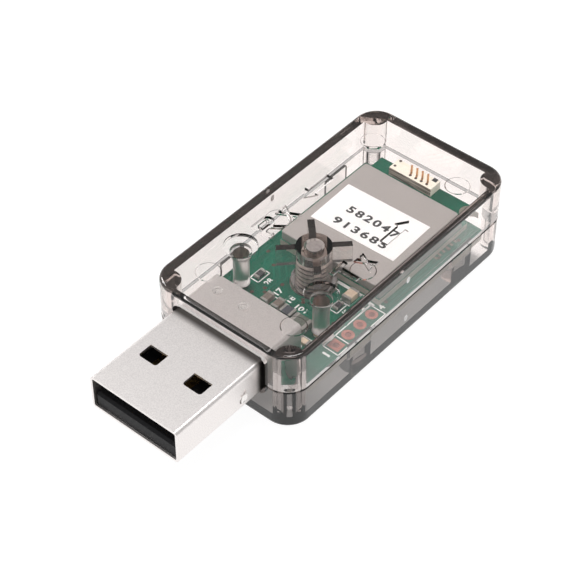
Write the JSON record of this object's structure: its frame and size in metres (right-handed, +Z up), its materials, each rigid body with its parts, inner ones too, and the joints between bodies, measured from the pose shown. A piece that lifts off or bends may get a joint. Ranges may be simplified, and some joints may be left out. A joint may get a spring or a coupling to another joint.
{
  "type": "wireless usb dongle",
  "caption": "Short wireless adapter for a computer: a flat folded-steel plug, and a clear two-part case closed by a screw that shows the circuit boards inside.",
  "frame": {"origin": "middle of the whole dongle's footprint, at the height of the case's flat underside", "axes": "+Y runs from the plug's mouth towards the aerial end, +X to the right across the case as seen from above with the plug towards the viewer, +Z up out of the lid"},
  "size_m": [0.0198, 0.0508, 0.0106],
  "materials": {
    "clear_plastic": "clear, smoke-tinted, polished",
    "plug_steel": "plated, fine satin",
    "screw_steel": "plated, plain",
    "black_plastic": "moulded, fine matt",
    "contact_gold": "plated, bright",
    "board_green": "solder mask, half gloss",
    "pad_copper": "bare copper, satin",
    "shield_tin": "tinned, matt",
    "label_white": "coated paper",
    "aerial_ceramic": "fired, matt",
    "led_clear": "moulded, half gloss",
    "chip_black": "moulded, matt",
    "chip_tan": "fired, half gloss",
    "chip_grey": "fired, half gloss",
    "chip_green": "moulded, half gloss"
  },
  "bodies": {
    "root": {"top_shell": "clear_plastic", "bottom_shell": "clear_plastic", "case_screw": "screw_steel", "plug_shell": "plug_steel", "plug_insulator": "black_plastic", "plug_contact_1": "contact_gold", "plug_contact_2": "contact_gold", "plug_contact_3": "contact_gold", "plug_contact_4": "contact_gold", "main_board": "board_green", "header_pad_1": "pad_copper", "header_pad_2": "pad_copper", "header_pad_3": "pad_copper", "header_pad_4": "pad_copper", "module_board": "board_green", "module_shield": "shield_tin", "module_label": "label_white", "chip_aerial": "aerial_ceramic", "rx_led": "led_clear", "tx_led": "led_clear", "rx_led_resistor": "chip_black", "tx_led_resistor": "chip_black", "plug_capacitor_1": "chip_tan", "plug_capacitor_2": "chip_tan", "ferrite_bead": "chip_grey", "resettable_fuse": "chip_green", "supply_inductor": "chip_tan", "supply_resistor": "chip_black", "bridge_chip": "chip_black", "bridge_crystal": "shield_tin", "bridge_capacitor_1": "chip_tan", "bridge_capacitor_2": "chip_tan", "crystal_capacitor_1": "chip_tan", "crystal_capacitor_2": "chip_tan", "regulator": "chip_black", "regulator_capacitor": "chip_tan", "radio_chip": "chip_black", "radio_crystal": "shield_tin"}
  },
  "joints": []
}
